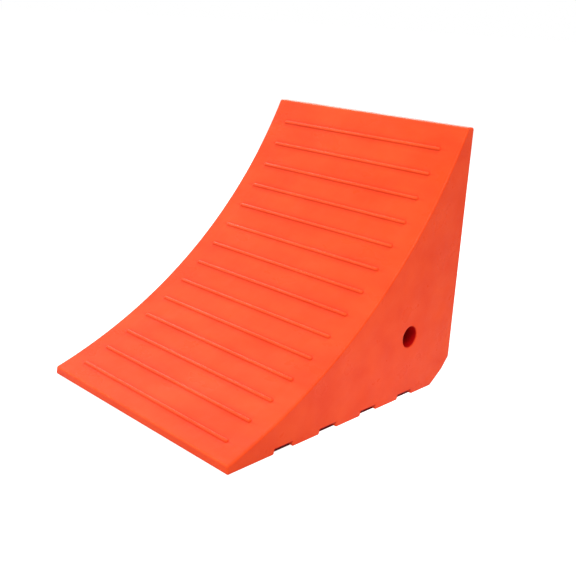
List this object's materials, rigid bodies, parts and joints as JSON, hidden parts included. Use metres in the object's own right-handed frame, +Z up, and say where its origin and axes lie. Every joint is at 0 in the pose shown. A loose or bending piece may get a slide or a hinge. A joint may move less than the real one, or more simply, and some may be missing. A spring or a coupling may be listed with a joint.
{
  "type": "wheel chock",
  "caption": "Solid moulded wheel chock with a concave beaded tyre face, blunt toe, narrow top land, chamfered heel, grooved base and a plain hole through both sides.",
  "frame": {"origin": "middle of the base's bounding rectangle, on the ground", "axes": "+X from the thin toe to the tall heel end, +Y across the tyre face, +Z up"},
  "size_m": [0.366, 0.305, 0.313],
  "materials": {
    "chock_body": "satin cast polyurethane, bright orange"
  },
  "bodies": {
    "root": {"chock_body": "chock_body"}
  },
  "joints": []
}
